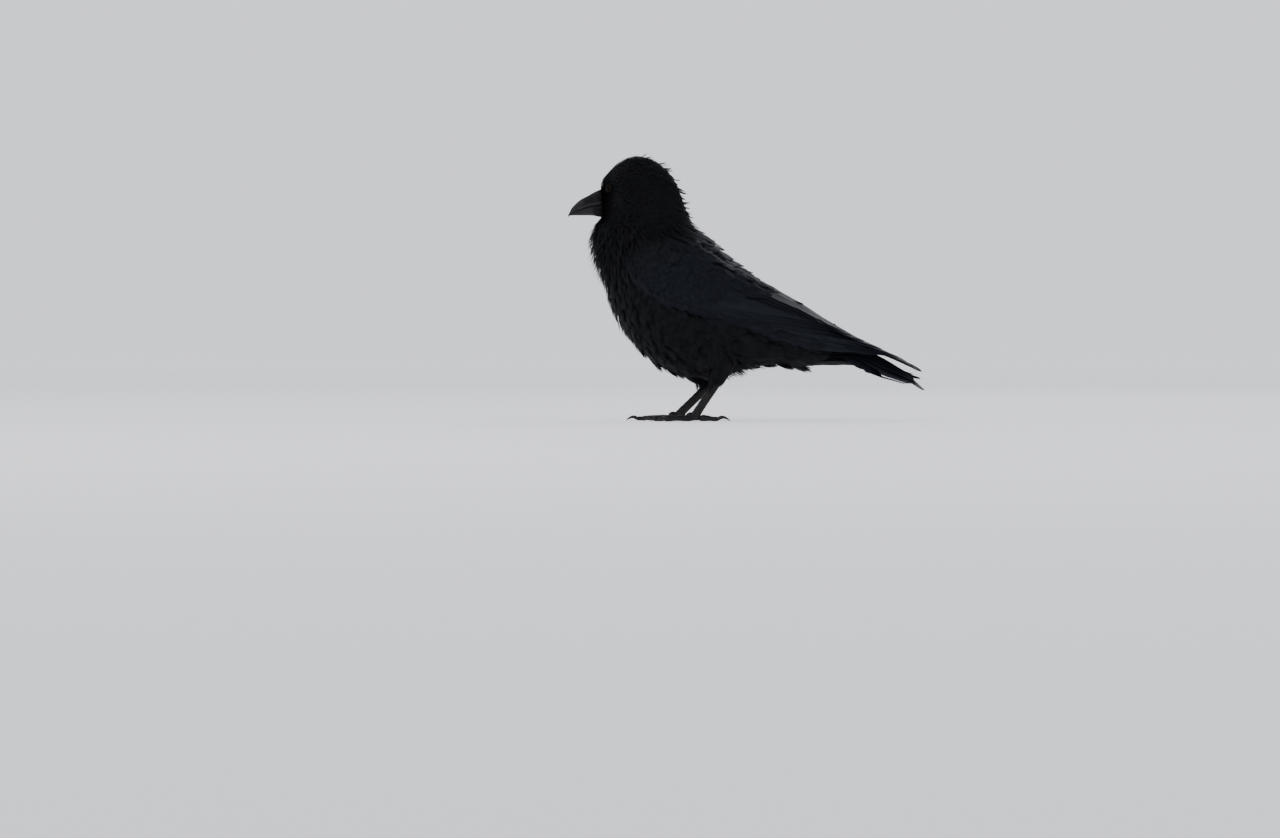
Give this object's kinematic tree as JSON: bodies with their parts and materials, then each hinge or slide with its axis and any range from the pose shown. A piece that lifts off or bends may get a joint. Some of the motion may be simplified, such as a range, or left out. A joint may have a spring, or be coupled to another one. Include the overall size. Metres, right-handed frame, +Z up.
{
  "type": "carrion crow",
  "caption": "Still life-size model of a standing carrion crow, head turned to its right, wings folded, resting on its own toes.",
  "frame": {"origin": "on the floor, below the middle of the bird's overall box", "axes": "the bird faces -X, its left side is towards -Y, +Z is up"},
  "size_m": [0.3708, 0.1222, 0.2785],
  "materials": {
    "plumage": "matt black contour feathers with a faint blue and violet gloss on the back and wings",
    "flight_feathers": "smooth black wing and tail feathers with a low blue gloss",
    "horn": "slate-black horn, satin, with fine growth lines",
    "scaled_skin": "black scaly skin with broad plates in front",
    "eyeball": "wet, very dark brown"
  },
  "bodies": {
    "root": {"head": "plumage", "neck": "plumage", "trunk": "plumage", "tail": "flight_feathers", "wing_left": "plumage", "wing_right": "plumage", "primaries_left": "flight_feathers", "primaries_right": "flight_feathers", "thigh_left": "plumage", "thigh_right": "plumage", "bill_upper": "horn", "bill_lower": "horn", "eye_left": "eyeball", "eye_right": "eyeball", "shank_left": "scaled_skin", "shank_right": "scaled_skin", "toe_left_1": "scaled_skin", "toe_left_2": "scaled_skin", "toe_left_3": "scaled_skin", "toe_left_4": "scaled_skin", "toe_right_1": "scaled_skin", "toe_right_2": "scaled_skin", "toe_right_3": "scaled_skin", "toe_right_4": "scaled_skin", "claw_left_1": "horn", "claw_left_2": "horn", "claw_left_3": "horn", "claw_left_4": "horn", "claw_right_1": "horn", "claw_right_2": "horn", "claw_right_3": "horn", "claw_right_4": "horn"}
  },
  "joints": []
}
